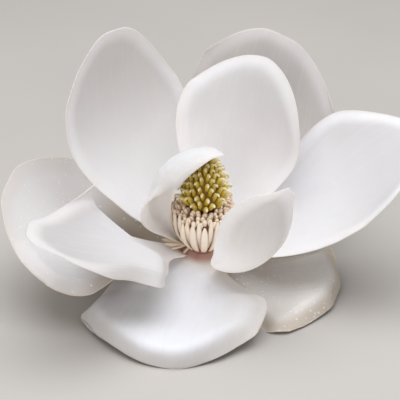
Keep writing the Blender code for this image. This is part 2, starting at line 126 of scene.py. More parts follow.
# %% The petals' measures
# azimuth and seat say where the claw leaves the receptacle, and aside moves it sideways; lift is the
# midrib's slope at four stations, and cup_cw and cup_ccw are the bend of the two halves there. A wave
# swells one half, or narrows it if negative: by how much, at which share of the length, over what
# reach. The rim is rolled over a band, at the tip over tip_band; only the first "crest" millimetres
# of the band are bent, and the lip beyond them is straight. Angles are in degrees.
PLAIN_PETAL = dict(
    flare=1, aside=0, waves_cw=(), waves_ccw=(),
    roll_cw=0, roll_tip=0, roll_ccw=0, band=12, tip_from=0.62,
)
PETAL_ROWS = {
    "petal_lower_right": dict(
        azimuth=344, seat=0.3, length=70, width=87, claw=5.5,
        widest=0.72, flare=1.2, fall=0.27, skew=0.01, point=-1.3,
        lift=(-6, -8.5, 35, 5), swerve=2, twist=(-3, -8),
        cup_cw=(8, 7, 7, 3), cup_ccw=(8, -3, -1, 16),
        roll_cw=20, roll_tip=60, roll_ccw=22, crest=5,
    ),
    "petal_lower_left": dict(
        azimuth=178, seat=3.1, length=102, width=102, claw=4,
        widest=0.62, flare=1.5, fall=0.32, skew=-0.01, point=-1.5, waves_ccw=((0.28, 0.36, 0.15),),
        lift=(-5, -5, 31, 53), swerve=3, twist=(12, -15),
        cup_cw=(20, 21, 21, 19), cup_ccw=(8, 13, 15, 23),
        roll_ccw=50, band=10, crest=4, tip_from=0.7,
    ),
    "petal_back": dict(
        azimuth=72, seat=0.3, length=140, width=85, claw=5.5,
        widest=0.62, fall=0.18, skew=0.06, point=-1.2,
        lift=(-6, 17, 59, 71), swerve=6, twist=(-8, 0),
        cup_cw=(20, 14, 17, 29), cup_ccw=(10, 5, 8, 27), roll_tip=20,
    ),
    "petal_front": dict(
        azimuth=255, seat=9, length=93.5, width=90, claw=6.2,
        widest=0.5, fall=0.41, skew=0.07, point=-1,
        waves_cw=((0.09, 0.85, 0.3),), waves_ccw=((0.03, 1.0, 0.2),),
        lift=(-34, 6, 18, -10), swerve=9, twist=(15, 5),
        cup_cw=(4, 8, 8, 6), cup_ccw=(10, 15, 12, 13),
        roll_cw=52, roll_tip=70, roll_ccw=28, band=13, crest=6, tip_from=0.47,
    ),
    "petal_right": dict(
        azimuth=10, seat=3.2, length=122, width=83, claw=5.5,
        widest=0.76, fall=0.24, skew=-0.03, point=-0.9,
        lift=(26, 39, 49, 26), swerve=5, twist=(5, 0),
        cup_cw=(12, 14, 17, 31), cup_ccw=(12, 26, 26, 24), roll_tip=20,
    ),
    "petal_back_left": dict(
        azimuth=134, seat=4.8, length=125, width=83, claw=4,
        widest=0.64, fall=0.26, skew=0.03, point=-1.2,
        lift=(9, 34, 67, 97), swerve=5, twist=(7, 2),
        cup_cw=(12, 37, 35, 23), cup_ccw=(12, 17, 17, 17), roll_tip=10, roll_ccw=20,
    ),
    "petal_inner_right": dict(
        azimuth=297.5, seat=5.6, length=101.5, width=41.5, claw=3, aside=4.7,
        widest=0.68, fall=0.29, skew=-0.015, point=7.5, waves_cw=((-0.8, 0.06, 0.07),),
        lift=(9, 45, 90.5, 52), swerve=-4.5, twist=(-11, 0),
        cup_cw=(8, 61, 54, 46), cup_ccw=(25, 60.5, 50, 46),
    ),
    "petal_inner_left": dict(
        azimuth=229, seat=6.2, length=102, width=67, claw=3, aside=-4,
        widest=0.89, fall=0.24, skew=0.23, point=2.1, waves_ccw=((-0.7, 0.16, 0.1), (0.4, 0.43, 0.1)),
        lift=(15, 40, 18, 22), swerve=-41, twist=(14, 4),
        cup_cw=(12, 30, 37, 74), cup_ccw=(12, -22, -16, 21),
        roll_cw=30, roll_tip=38, roll_ccw=55, band=11, tip_band=5, crest=5, tip_from=0.55,
    ),
    "petal_inner_back": dict(
        azimuth=71, seat=6.4, length=97, width=74, claw=4.6,
        widest=0.73, fall=0.27, skew=0.04, point=0.5,
        lift=(44, 48, 71, 71), swerve=-3, twist=(4, -16),
        cup_cw=(20, 43, 42, 42), cup_ccw=(20, 42, 40, 29), roll_tip=30,
    ),
    "petal_hood": dict(
        azimuth=175.5, seat=8.6, length=83, width=36.5, claw=4.6,
        widest=0.73, fall=0.255, skew=0.014, point=3,
        waves_cw=((-0.11, 1.0, 0.15),), waves_ccw=((0.3, 0.35, 0.16), (0.11, 1.0, 0.15)),
        lift=(22, 69, 128.5, 173.5), swerve=-19.7, twist=(-11, -0.5),
        cup_cw=(30, 54, 58, 47), cup_ccw=(16, 35, 60, 70),
        roll_ccw=56, band=8, crest=3, tip_from=0.4,
    ),
}
PETALS = {name: PLAIN_PETAL | row for name, row in PETAL_ROWS.items()}
STATIONS = np.linspace(0.0, 1.0, 4)
print("petals:", len(PETALS))

# %% [markdown]
# ## From a flat outline to a bent petal
#
# A petal could be sculpted, or lofted through cross-sections. Here a flat grid is bent by a rule,
# which works for a coarse grid and a fine one alike. The first step lays the petal flat: a grid point
# that is so far across and so far along gets its place in the outline, which opens from the claw, is
# widest past the middle and closes in a round tip. Waves give one half a lobe or a waist.

# %% The flat outline
RIM_SLOPE = 0.25
POINT_WIDTH = 0.16
POINT_POWER = 10
ASIDE_REACH = 0.3


def aside_of(along, shape):
    """How far a place is moved sideways, which wears off away from the claw."""
    return shape["aside"] * (1.0 - ease(along / ASIDE_REACH))


def flat_outline(across, along, shape):
    """The petal laid flat: sideways place, distance from the claw and half width of the row."""
    half = shape["width"] / 2
    claw = shape["claw"] / half
    widest = shape["widest"]
    fall = shape["fall"]
    pace = (1.0 - RIM_SLOPE) / fall
    end = 1.0 / (1.0 + RIM_SLOPE * (1.0 - widest) / (4.0 * fall))
    opening = np.clip(along / widest, 0.0, 1.0) ** shape["flare"]
    rise = claw + (1.0 - claw) * np.sin(np.pi / 2 * opening)
    narrow = 1.0 - (1.0 - end) * (np.clip(along - widest, 0.0, 1.0) / (1.0 - widest)) ** 2
    row_half = half * np.where(along < widest, rise, narrow)
    for side, key in ((across < 0.0, "waves_cw"), (across > 0.0, "waves_ccw")):
        for swell, place, reach in shape[key]:
            row_half = row_half * (1.0 + side * swell * np.exp(-((along - place) / reach) ** 2))
    distance = shape["length"] * (along - fall * across ** 2 * along ** pace)
    distance = distance * (1.0 + shape["skew"] * across * along)
    distance = distance + shape["point"] * np.exp(-(across / POINT_WIDTH) ** 2) * along ** POINT_POWER
    return row_half * across + aside_of(along, shape), distance, row_half


# %% [markdown]
# The midrib is walked from the claw to the tip in small steps. At each step the slope, the sideways
# swerve and the twist give three directions: along the petal, across it, and off its inner face.

# %% The midrib
MIDRIB_STEPS = 120
MIDRIB_SPARE = 2.0
MIDRIB_EASE = 8
SWERVE_POWER = 1.5
TWIST_START = 0.05
TWIST_FULL = 0.3


def midrib(shape):
    """Places along the midrib, with the directions along it, across it and off its inner face."""
    reach = shape["length"] * (1.0 + abs(shape["skew"])) + abs(shape["point"]) + MIDRIB_SPARE
    distance = np.linspace(0.0, reach, MIDRIB_STEPS)
    share = distance / shape["length"]
    lift = evened(np.interp(share, STATIONS, np.radians(shape["lift"])), MIDRIB_EASE)
    turn = np.radians(shape["azimuth"] + shape["swerve"] * share ** SWERVE_POWER)
    early, late = np.radians(shape["twist"])
    twist = np.interp(share, (0.0, TWIST_START, TWIST_FULL, 1.0), (0.0, 0.0, early, late))[:, None]

    forward = np.stack([np.cos(lift) * np.cos(turn), np.cos(lift) * np.sin(turn), np.sin(lift)], axis=1)
    level = np.stack([-np.sin(turn), np.cos(turn), np.zeros(MIDRIB_STEPS)], axis=1)
    upright = np.cross(forward, level)
    sideways = level * np.cos(twist) + upright * np.sin(twist)
    inward = upright * np.cos(twist) - level * np.sin(twist)

    out = radial(math.radians(shape["azimuth"]))
    start = out * (receptacle_radius(shape["seat"]) + CLAW_GAP) + np.array([0.0, 0.0, shape["seat"]])
    moves = (forward[1:] + forward[:-1]) / 2 * (distance[1] - distance[0])
    place = start + np.concatenate([np.zeros((1, 3)), np.cumsum(moves, axis=0)])
    return distance, place, forward, sideways, inward


# %% [markdown]
# A petal's rim rolls back towards its outer face, most of all at the tip of an old bloom. To roll a
# band of even width, every point has to know how far it is from the nearest point of the rim, and
# which way is outwards there. That direction is evened out along the rim, or the lip would crease.

# %% The rim
RIM_SAMPLES = 90
RIM_EASE = 9


def flat_rim(shape):
    """Points round the flat petal from claw to tip to claw, with their outward directions."""
    up = np.linspace(0.0, 1.0, RIM_SAMPLES)
    over = np.linspace(-1.0, 1.0, RIM_SAMPLES + 2)[1:-1]
    side = np.ones(RIM_SAMPLES)
    across = np.concatenate([-side, over, side])
    along = np.concatenate([up, side, up[::-1]])
    x, y, _ = flat_outline(across, along, shape)
    points = np.stack([x, y], axis=1)
    step = np.gradient(points, axis=0)
    outward = np.stack([-step[:, 1], step[:, 0]], axis=1)
    outward /= np.linalg.norm(outward, axis=1)[:, None] + 1e-12
    middle = np.array([0.0, shape["length"] / 2])
    outward *= np.sign(((points - middle) * outward).sum(axis=1))[:, None]
    outward = np.stack([evened(outward[:, axis], RIM_EASE) for axis in range(2)], axis=1)
    return points, outward / np.linalg.norm(outward, axis=1)[:, None]


# %% [markdown]
# With the outline, the midrib and the rim at hand, the bending is three short steps. In the first, each
# half of a row is laid on an arc across the midrib.

# %% Bend the two halves
def bend_halves(across, along, shape):
    """Points of the cupped petal, and its directions along, across and off the inner face."""
    _, y, row_half = flat_outline(across, along, shape)
    distance, *tracks = midrib(shape)
    place, forward, sideways, inward = (
        np.stack([np.interp(y, distance, track[:, axis]) for axis in range(3)], axis=1)
        for track in tracks)
    cup_cw = np.interp(along, STATIONS, np.radians(shape["cup_cw"]))
    cup_ccw = np.interp(along, STATIONS, np.radians(shape["cup_ccw"]))
    cup = np.where(across < 0.0, cup_cw, cup_ccw)
    cup = np.where(np.abs(cup) < 1e-4, 1e-4, cup)
    radius = (row_half / cup)[:, None]
    turned = (cup * across)[:, None]
    points = place + sideways * radius * np.sin(turned) + inward * radius * (1.0 - np.cos(turned))
    points = points + sideways * aside_of(along, shape)[:, None]
    skin_side = sideways * np.cos(turned) + inward * np.sin(turned)
    skin_in = inward * np.cos(turned) - sideways * np.sin(turned)
    return points, forward, skin_side, skin_in


# %% [markdown]
# In the second step the end of the claw is laid against the round receptacle, and whatever lies near
# it is kept from reaching into the receptacle.

# %% Seat the claw
HUG = 0.12
HUG_REACH = 0.95
CLAW_CLEARANCE = 0.6
CLAW_SHARE = 0.3
CLAW_HEADROOM = 1.5


def seat_claw(points, x, along, shape):
    """The points of a petal, with its claw fitted to the receptacle."""
    seat_radius = receptacle_radius(shape["seat"])
    near = np.minimum(np.abs(x), seat_radius * HUG_REACH)
    hollow = seat_radius - np.sqrt(seat_radius ** 2 - near ** 2)
    drawn_in = (hollow * (1.0 - ease(along / HUG)))[:, None]
    points = points - radial(math.radians(shape["azimuth"])) * drawn_in

    from_axis = np.hypot(points[:, 0], points[:, 1])
    beside = (points[:, 2] < RECEPTACLE_TOP + CLAW_HEADROOM) & (along < CLAW_SHARE)
    needed = receptacle_radius(points[:, 2]) + CLAW_CLEARANCE
    short = np.maximum(needed - from_axis, 0.0) * beside
    points[:, :2] *= (1.0 + short / from_axis)[:, None]
    return points


# %% [markdown]
# In the third step the rim is rolled. The band along it goes round an arc, and beyond the crest
# straight on, so a point there is drawn in and turned back. How strong the roll is depends on the
# nearest place of the rim: none at the claw, one value for each side and one for the tip.

# %% Roll the rim
SIDE_ROLL = (0.10, 0.40)
TIP_ROLL = 0.28


def rim_roll(x, y, shape):
    """How far each point is drawn in and turned back, the way to the rim, and the distance from it."""
    rim, outward = flat_rim(shape)
    apart = np.hypot(x[:, None] - rim[None, :, 0], y[:, None] - rim[None, :, 1])
    nearest = apart.argmin(axis=1)
    from_rim = apart[np.arange(len(x)), nearest]
    rim_share = rim[nearest, 1] / shape["length"]
    at_tip = ease((rim_share - shape["tip_from"]) / TIP_ROLL)
    at_side = ease((rim_share - SIDE_ROLL[0]) / (SIDE_ROLL[1] - SIDE_ROLL[0]))
    side_roll = np.where(rim[nearest, 0] < 0.0, shape["roll_cw"], shape["roll_ccw"])
    roll = np.radians(at_tip * shape["roll_tip"] + (1.0 - at_tip) * at_side * side_roll)
    roll = np.where(np.abs(roll) < 1e-3, 1e-3, roll)
    band = at_tip * shape.get("tip_band", shape["band"]) + (1.0 - at_tip) * shape["band"]
    crest = np.minimum(shape.get("crest", band), band)
    inside = np.clip(band - from_rim, 0.0, None)
    bent = np.minimum(inside, crest)
    radius = crest / np.abs(roll)
    drawn_in = radius * np.sin(bent / radius) + (inside - bent) * np.cos(bent / radius) - inside
    turned_back = radius * (1.0 - np.cos(bent / radius)) + (inside - bent) * np.sin(bent / radius)
    return drawn_in[:, None], (-np.sign(roll) * turned_back)[:, None], outward[nearest], from_rim


def petal_surface(across, along, shape):
    """Points of the petal's inner face and their distance from the rim, in millimetres."""
    x, y, _ = flat_outline(across, along, shape)
    points, forward, skin_side, skin_in = bend_halves(across, along, shape)
    points = seat_claw(points, x, along, shape)
    drawn_in, turned_back, outward, from_rim = rim_roll(x, y, shape)
    skin_out = skin_side * outward[:, :1] + forward * outward[:, 1:]
    return points + skin_out * drawn_in + skin_in * turned_back, from_rim


# %% [markdown]
# Now a petal can be made: a flat grid of faces, whose vertices are each moved to the place that the
# rule gives for their share across and along. The rows lie closer together towards the petal's edges,
# where the bends are tight.

# %% The grid of a petal
ROW_BEND = 0.8
ROW_BEND_SHARE = 0.6


def spread(value, lowest, highest):
    """Even steps drawn closer together towards both ends."""
    middle = (lowest + highest) / 2
    half = (highest - lowest) / 2
    place = (value - middle) / half
    bent = np.sin(place * np.pi / 2 * ROW_BEND) / math.sin(np.pi / 2 * ROW_BEND)
    return middle + half * (ROW_BEND_SHARE * bent + (1.0 - ROW_BEND_SHARE) * place)


def petal_grid(shape, rows_across, rows_along):
    """A bent petal without thickness, with each vertex's shares across and along and its rim distance."""
    grid = bmesh.new()
    bmesh.ops.create_grid(grid, x_segments=rows_across, y_segments=rows_along, size=1.0)
    flat = np.array([vert.co for vert in grid.verts])
    across = spread(flat[:, 0], -1.0, 1.0)
    along = spread((flat[:, 1] + 1.0) / 2.0, 0.0, 1.0)
    points, from_rim = petal_surface(across, along, shape)
    for vert, point in zip(grid.verts, points):
        vert.co = Vector(point)
    grid.normal_update()
    return grid, across, along, from_rim


# %% [markdown]
# Two steps come up again and again: a finished bmesh becomes a mesh, and what has been made becomes
# an object of the scene.

# %% From bmesh to object
def mesh_from(build, name, into_place=None):
    """Turn a finished bmesh into a mesh; one made in millimetres is carried into place."""
    if into_place is not None:
        build.transform(into_place @ Matrix.Scale(MM, 4))
    mesh = bpy.data.meshes.new(name)
    build.to_mesh(mesh)
    build.free()
    return mesh


def add_object(name, data):
    """A new object in the scene."""
    added = bpy.data.objects.new(name, data)
    bpy.context.scene.collection.objects.link(added)
    return added


# %% [markdown]
# ## Where the bloom stands
#
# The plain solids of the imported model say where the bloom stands. One petal, whose row is unchanged,
# is made here as its solid was: the same coarse grid, the same thickness. The difference between the
# lowest corners of the two boxes is the place of the bloom, and the highest corners have to agree.

# %% Lay one coarse petal over its solid
PETAL_THICKNESS = 0.9
COARSE_ACROSS = 10
COARSE_ALONG = 14


def box_of(obj):
    """Lowest and highest corner of a piece as it is shown."""
    bpy.context.view_layer.update()
    shown = obj.evaluated_get(bpy.context.evaluated_depsgraph_get())
    corners = np.array([shown.matrix_world @ vert.co for vert in shown.data.vertices])
    return Vector(corners.min(axis=0)), Vector(corners.max(axis=0))


def thicken(petal, even):
    """Give a petal its thickness, on its outer side."""
    skin = petal.modifiers.new("thickness", "SOLIDIFY")
    skin.thickness = PETAL_THICKNESS * MM
    skin.offset = 1.0
    skin.use_even_offset = even
    return skin


def find_bloom_place(name):
    """Place of the bloom's frame, from one petal and its plain solid."""
    grid, _, _, _ = petal_grid(PETALS[name], COARSE_ACROSS, COARSE_ALONG)
    bmesh.ops.triangulate(grid, faces=grid.faces[:])
    trial = add_object("trial", mesh_from(grid, "trial", LEAN))
    thicken(trial, even=True)
    low, high = box_of(trial)
    bpy.data.objects.remove(trial, do_unlink=True)
    solid_low, solid_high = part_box(name)
    place = solid_low - low
    print("bloom stands at, mm:", [round(value * 1000, 2) for value in place])
    print("the petal misses its solid by, mm:", round((solid_high - high - place).length * 1000, 3))
    return place


bloom_place = find_bloom_place("petal_back")
bloom_frame = Matrix.Translation(bloom_place) @ LEAN
cone_top = Matrix.Translation((0.0, 0.0, RECEPTACLE_TOP * MM))
cone_frame = bloom_frame @ cone_top @ Matrix.Rotation(CONE_TILT, 4, "Y") @ cone_top.inverted()

# %% [markdown]
# ## Camera
#
# The bloom is seen from a little above, with a long lens from 80 cm. The camera is aimed a touch over
# the foot of the bloom's axis. Colours are shown without a film curve, which would turn whites grey.

# %% Camera
CAMERA_DISTANCE = 0.8
CAMERA_HEIGHT = math.radians(25.0)
CAMERA_LENS = 144.0
CAMERA_RAISE = math.radians(2.08)

lens = bpy.data.cameras.new("camera")
lens.lens = CAMERA_LENS
lens.sensor_width = 36.0
lens.clip_start = 0.05
lens.clip_end = 20.0
camera = add_object("camera", lens)
away = Vector((0.0, -math.cos(CAMERA_HEIGHT), math.sin(CAMERA_HEIGHT)))
camera.location = bloom_place + away * CAMERA_DISTANCE
camera.rotation_euler = (math.radians(90.0) - CAMERA_HEIGHT + CAMERA_RAISE, 0.0, 0.0)
bpy.context.scene.camera = camera
bpy.context.scene.view_settings.view_transform = "Standard"
print("camera at", [round(value, 3) for value in camera.location])

# %% [markdown]
# ## Floor and light
#
# A white petal shows its form only by soft shade. One wide panel overhead does most of the work, as
# an overcast sky would, so that faces turned up are the brightest. A second panel from the front left
# keeps the upright petals from going grey, and the surroundings add a low even light.

# %% Floor
FLOOR_HALF_SIDE = 4.0

plane = bmesh.new()
bmesh.ops.create_grid(plane, x_segments=1, y_segments=1, size=FLOOR_HALF_SIDE)
floor = add_object("floor", mesh_from(plane, "floor"))

# %% [markdown]
# Both panels are round. A row says where a panel stands, which point it faces, how wide it is,
# how strong, and of what tone: the one overhead is cool like the sky, the other a little warm.

# %% Lights
SKY_TONE = (1.0, 0.965, 0.93)
SKY_STRENGTH = 0.42
LIGHTS = {
    # name: place, aim, size, power and tone
    "panel_above": ((0.05, -0.15, 1.4), (0.0, 0.0, 0.05), 1.8, 24.0, (0.94, 0.955, 1.0)),
    "panel_front": ((-0.5, -1.3, 0.5), (0.0, 0.0, 0.05), 0.9, 5.0, (1.0, 0.98, 0.95)),
}
for light_name, (place, aim, size, power, tone) in LIGHTS.items():
    panel = bpy.data.lights.new(light_name, "AREA")
    panel.shape = "DISK"
    panel.size = size
    panel.energy = power
    panel.color = tone
    lamp = add_object(light_name, panel)
    lamp.location = place
    lamp.rotation_euler = (Vector(aim) - Vector(place)).to_track_quat("-Z", "Y").to_euler()

surroundings = bpy.data.worlds.new("surroundings")
surroundings.use_nodes = True
sky = surroundings.node_tree.nodes["Background"]
sky.inputs["Color"].default_value = (*SKY_TONE, 1.0)
sky.inputs["Strength"].default_value = SKY_STRENGTH
bpy.context.scene.world = surroundings
print("lights:", list(LIGHTS))

# %% [markdown]
# ## Shader helpers
#
# Finishes are built from nodes. A few small helpers keep that readable: each adds one kind of node,
# fills its sockets with numbers, colours or links, and gives back the output that is used next.

# %% Shader helpers
def fill_sockets(tree, node, inputs):
    """Fill a node's sockets with values, or link them to other nodes' outputs."""
    for key, value in inputs.items():
        socket = node.inputs[key]
        if isinstance(value, bpy.types.NodeSocket):
            tree.links.new(value, socket)
        elif socket.type == "RGBA":
            socket.default_value = (*value, 1.0)
        else:
            socket.default_value = value


def add_node(tree, kind, inputs=(), **settings):
    """A node with its settings and its sockets filled in."""
    node = tree.nodes.new(kind)
    for key, value in settings.items():
        setattr(node, key, value)
    fill_sockets(tree, node, dict(inputs))
    return node


def new_material(name):
    """A material with its node tree and its Principled shader."""
    material = bpy.data.materials.new(name)
    material.use_nodes = True
    return material, material.node_tree, material.node_tree.nodes["Principled BSDF"]


# %% [markdown]
# The other helpers stand for the steps that come up in every finish: a ramp, colours laid over each
# other, a sum, a change of range, a number from the mesh, and a bump.

# %% Steps of a finish
def add_ramp(tree, value, stops):
    """A colour ramp over a value, from (place, colour) stops."""
    ramp = add_node(tree, "ShaderNodeValToRGB", {"Fac": value})
    points = ramp.color_ramp.elements
    while len(points) < len(stops):
        points.new(0.5)
    for point, (place, colour) in zip(points, stops):
        point.position = place
        point.color = (*colour, 1.0)
    return ramp.outputs["Color"]


def layer_colours(tree, colour, layers):
    """A colour with others laid over it, from (share, colour) pairs."""
    for share, over in layers:
        sockets = {0: share, 6: colour, 7: over}
        colour = add_node(tree, "ShaderNodeMix", sockets, data_type="RGBA").outputs[2]
    return colour


def math_of(tree, operation, first, second):
    """The output of one sum."""
    return add_node(tree, "ShaderNodeMath", {0: first, 1: second}, operation=operation).outputs[0]


def range_of(tree, value, low, high, to_low=0.0, to_high=1.0):
    """A value mapped smoothly from one range to another."""
    sockets = {"Value": value, "From Min": low, "From Max": high, "To Min": to_low, "To Max": to_high}
    node = add_node(tree, "ShaderNodeMapRange", sockets, interpolation_type="SMOOTHSTEP")
    return node.outputs["Result"]


def attribute_of(tree, name):
    """A number that the mesh carries on its vertices."""
    return add_node(tree, "ShaderNodeAttribute", attribute_name=name).outputs["Fac"]


def bump_of(tree, height, strength, distance, below=None):
    """The normal of a bump, laid over another bump if one is given."""
    sockets = {"Height": height, "Strength": strength, "Distance": distance}
    if below is not None:
        sockets["Normal"] = below
    return add_node(tree, "ShaderNodeBump", sockets).outputs["Normal"]


# %% [markdown]
# ## Effects that several finishes share
#
# Living tissue is never one even colour, and it's never quite smooth. What several finishes need is
# made once, as a group of nodes with its own sockets. The first group gives a soft mottle of a chosen
# size with a fine grain in it.

# %% The mottle group
def new_group(name, inputs, outputs):
    """A node group with its sockets, and its input and output nodes."""
    group = bpy.data.node_groups.new(name, "ShaderNodeTree")
    for label, value in inputs.items():
        kind = "NodeSocketVector" if isinstance(value, tuple) else "NodeSocketFloat"
        group.interface.new_socket(label, in_out="INPUT", socket_type=kind).default_value = value
    for label in outputs:
        group.interface.new_socket(label, in_out="OUTPUT", socket_type="NodeSocketFloat")
    return group, group.nodes.new("NodeGroupInput"), group.nodes.new("NodeGroupOutput")


def make_mottle_group():
    """Soft patches and a fine grain, of sizes in metres."""
    sizes = {"Patch Size": 0.02, "Grain Size": 0.001}
    group, start, end = new_group("living mottle", sizes, ("Patches", "Grain"))
    where = add_node(group, "ShaderNodeTexCoord").outputs["Object"]
    for size, result, detail in (("Patch Size", "Patches", 3.0), ("Grain Size", "Grain", 2.0)):
        scale = math_of(group, "DIVIDE", 1.0, start.outputs[size])
        cloud = add_node(group, "ShaderNodeTexNoise", {"Vector": where, "Scale": scale, "Detail": detail})
        group.links.new(cloud.outputs["Fac"], end.inputs[result])
    return group


def add_mottle(tree, patch_size, grain_size):
    """The patches and the grain of the mottle group in a finish."""
    sizes = {"Patch Size": patch_size, "Grain Size": grain_size}
    mottle = add_node(tree, "ShaderNodeGroup", sizes, node_tree=mottle_group)
    return mottle.outputs["Patches"], mottle.outputs["Grain"]


mottle_group = make_mottle_group()
print("group:", mottle_group.name)

# %% [markdown]
# The second group draws the faint veins of a petal. They could be drawn one by one, but they're hardly
# more than a shimmer, so noise that is stretched along the petal does as well: it turns into streaks.

# %% The streak group
def make_streak_group():
    """Noise that is stretched along a place's Y."""
    sockets = {"Place": (0.0, 0.0, 0.0), "Streaks Across": 40.0, "Streaks Along": 2.0}
    group, start, end = new_group("long streaks", sockets, ("Streaks",))
    stretch = add_node(group, "ShaderNodeCombineXYZ", {
        "X": start.outputs["Streaks Across"], "Y": start.outputs["Streaks Along"], "Z": 1.0})
    place = add_node(group, "ShaderNodeVectorMath", {
        0: start.outputs["Place"], 1: stretch.outputs["Vector"]}, operation="MULTIPLY")
    streaks = add_node(group, "ShaderNodeTexNoise", {
        "Vector": place.outputs["Vector"], "Scale": 1.0, "Detail": 3.0, "Roughness": 0.55})
    group.links.new(streaks.outputs["Fac"], end.inputs["Streaks"])
    return group


streak_group = make_streak_group()
print("group:", streak_group.name)

# %% [markdown]
# Dew settles on the older petals in small beads. A cell texture gives each bead its middle, the random
# colour of a cell says whether that cell has a bead at all, and the amount is set per petal. The finish
# lays the beads on as a brighter colour, a painted highlight.

# %% The dew group
DEW_CELL = 0.003
DEW_RADIUS = 0.27
DEW_CREST = 0.4


def make_dew_group():
    """Beads in some of the cells of a cell texture."""
    group, start, end = new_group("dew", {"Amount": 0.3}, ("Drops",))
    where = add_node(group, "ShaderNodeTexCoord").outputs["Object"]
    cells = add_node(group, "ShaderNodeTexVoronoi", {"Vector": where, "Scale": 1.0 / DEW_CELL})
    chance = add_node(group, "ShaderNodeSeparateColor", {"Color": cells.outputs["Color"]}).outputs["Red"]
    has_drop = math_of(group, "LESS_THAN", chance, start.outputs["Amount"])
    drop = range_of(group, cells.outputs["Distance"], DEW_RADIUS, DEW_CREST * DEW_RADIUS)
    group.links.new(math_of(group, "MULTIPLY", has_drop, drop), end.inputs["Drops"])
    return group


dew_group = make_dew_group()
print("group:", dew_group.name)

# %% [markdown]
# ## The petal finish
#
# A fresh petal is white with a waxy skin that lets a little light through. Of the older outer ones, one
# has turned beige, and its rolled lip is darker still, partly from age and partly from painted shade where
# the lip turns down; another is painted dark brown towards its claw, as the shade there. Some petals are
# painted greyer all over, and thin outer ends greyer still, as painted shade, except along the rim, which
# is left bright as if lit. The rim dries first, to a line of peach, and the claw is cream with a red flush
# where it is attached.

# %% The colours of a petal
PETAL_COOL = (0.91, 0.905, 0.945)
PETAL_WARM = (0.88, 0.86, 0.84)
PETAL_AGED = (0.78, 0.69, 0.585)
PETAL_CLAW = (0.88, 0.82, 0.74)
PETAL_FLUSH = (0.46, 0.12, 0.10)
PETAL_RIM = (0.74, 0.60, 0.46)
PETAL_LIP_AGE_AND_SHADE = (0.60, 0.51, 0.42)
PETAL_SHADE = (0.40, 0.39, 0.41)
PETAL_CLAW_SHADE = (0.27, 0.22, 0.175)
DEW_PAINTED_GLINT = (0.95, 0.94, 0.92)

# %% [markdown]
# One function lays these colours over the white, each by its own share. Every petal calls it with its
# own numbers, so no two are quite alike.

# %% The petal finish
LIP_BAND = 11.0
LIP_CORE = 0.3
RIM_UNEVENNESS = 1.6


def petal_finish(name, tissue):
    """The waxy finish of one petal: its own colours, with painted shade and painted highlights laid over
    them.
    """
    material, tree, shader = new_material(name)
    patches, grain = add_mottle(tree, 0.035, 0.0011)
    place = add_node(tree, "ShaderNodeUVMap", uv_map="petal").outputs["UV"]
    across_and_along = {"Place": place, "Streaks Across": 46.0, "Streaks Along": 2.2}
    veins = add_node(tree, "ShaderNodeGroup", across_and_along, node_tree=streak_group).outputs["Streaks"]
    along = add_node(tree, "ShaderNodeSeparateXYZ", {0: place}).outputs["Y"]
    from_rim = attribute_of(tree, "from_rim")

    dew = add_node(tree, "ShaderNodeGroup", {"Amount": tissue["dew"]}, node_tree=dew_group)
    drops = dew.outputs["Drops"]

    # the painted grey shade of the outer end keeps away from the rim, which is left bright as if lit, and
    # the dry line of the rim is uneven
    end = math_of(tree, "MULTIPLY", range_of(tree, along, 0.3, 0.9), range_of(tree, from_rim, 2.5, 9.0))
    uneven_rim = math_of(tree, "SUBTRACT", from_rim, math_of(tree, "MULTIPLY", veins, RIM_UNEVENNESS))
    colour = layer_colours(tree, PETAL_COOL, (
        (range_of(tree, patches, 0.35, 0.7), PETAL_WARM),
        # painted grey shade, over the whole petal by its own share and then on the outer end
        (1.0 - tissue["white"], PETAL_SHADE),
        (math_of(tree, "MULTIPLY", end, tissue["end"]), PETAL_SHADE),
        (range_of(tree, patches, 0.75, 0.25, 0.35 * tissue["age"], tissue["age"]), PETAL_AGED),
        (range_of(tree, veins, 0.5, 0.72, 0.0, 0.16), PETAL_AGED),
        # dark brown painted shade towards the claw
        (range_of(tree, along, 0.62, 0.25, 0.0, tissue["claw_shade"]), PETAL_CLAW_SHADE),
        (range_of(tree, along, 0.14, 0.02), PETAL_CLAW),
        (range_of(tree, along, 0.08, 0.03), PETAL_FLUSH),
        # the lip darkened, partly aged tissue and partly painted shade where it turns down
        (range_of(tree, from_rim, LIP_BAND, LIP_CORE * LIP_BAND, 0.0, tissue["lip_age_and_shade"]), PETAL_LIP_AGE_AND_SHADE),
        (range_of(tree, uneven_rim, 0.5, -0.7, 0.0, tissue["dry"]), PETAL_RIM),
        # dew beads in a brighter colour, a painted highlight
        (math_of(tree, "MULTIPLY", drops, 0.6), DEW_PAINTED_GLINT),
    ))

    waxy = range_of(tree, patches, 0.3, 0.7, 0.46, 0.6)
    normal = bump_of(tree, veins, 0.22, 0.0009)
    normal = bump_of(tree, grain, 0.12, 0.0003, normal)
    normal = bump_of(tree, patches, 0.3, 0.004, normal)
    normal = bump_of(tree, drops, 0.3, 0.0004, normal)
    fill_sockets(tree, shader, {
        "Base Color": colour,
        "Roughness": math_of(tree, "SUBTRACT", waxy, math_of(tree, "MULTIPLY", drops, 0.3)),
        "Specular IOR Level": 0.35,
        "Subsurface Weight": tissue["glow"],
        "Subsurface Radius": (0.9, 0.8, 0.7),
        "Subsurface Scale": 0.01,
        "Normal": normal,
    })
    return material


# %% [markdown]
# ## The fine petals
#
# Every fine piece is set up in the same way: it gets its finish and its slot, it rides on the root
# body, and it replaces the plain solid of its node. Most pieces are then rounded off by a subdivision.

# %% Set up a piece
def finish_piece(mesh, node, finish):
    """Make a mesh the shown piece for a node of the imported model."""
    piece = add_object(node + "_fine", mesh)
    mesh.materials.append(finish)
    mesh.shade_smooth()
    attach(piece, "root")
    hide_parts(node)
    return piece


def round_off(piece):
    """One level of subdivision, the same in the viewport and the render."""
    smooth = piece.modifiers.new("rounding", "SUBSURF")
    smooth.levels = 1
    smooth.render_levels = 1
